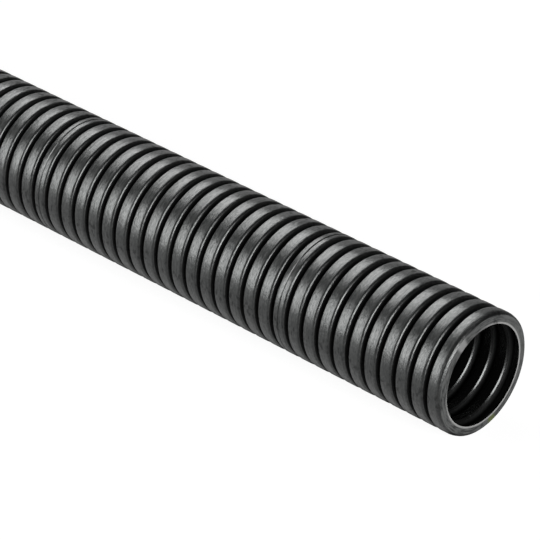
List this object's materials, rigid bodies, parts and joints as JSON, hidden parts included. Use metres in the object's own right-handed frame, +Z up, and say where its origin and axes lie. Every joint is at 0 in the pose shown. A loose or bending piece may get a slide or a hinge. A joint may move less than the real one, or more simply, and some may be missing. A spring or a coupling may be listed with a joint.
{
  "type": "corrugated conduit",
  "caption": "Straight length of black corrugated plastic conduit, with flat-topped rings outside, ridges inside and flush cut ends, for carrying cables.",
  "frame": {"origin": "on the floor under the middle of the conduit's length", "axes": "+X along the conduit, +Z up from the floor that it lies on"},
  "size_m": [1, 0.0286, 0.0285],
  "materials": {
    "conduit": "satin"
  },
  "bodies": {
    "root": {"conduit": "conduit"}
  },
  "joints": []
}
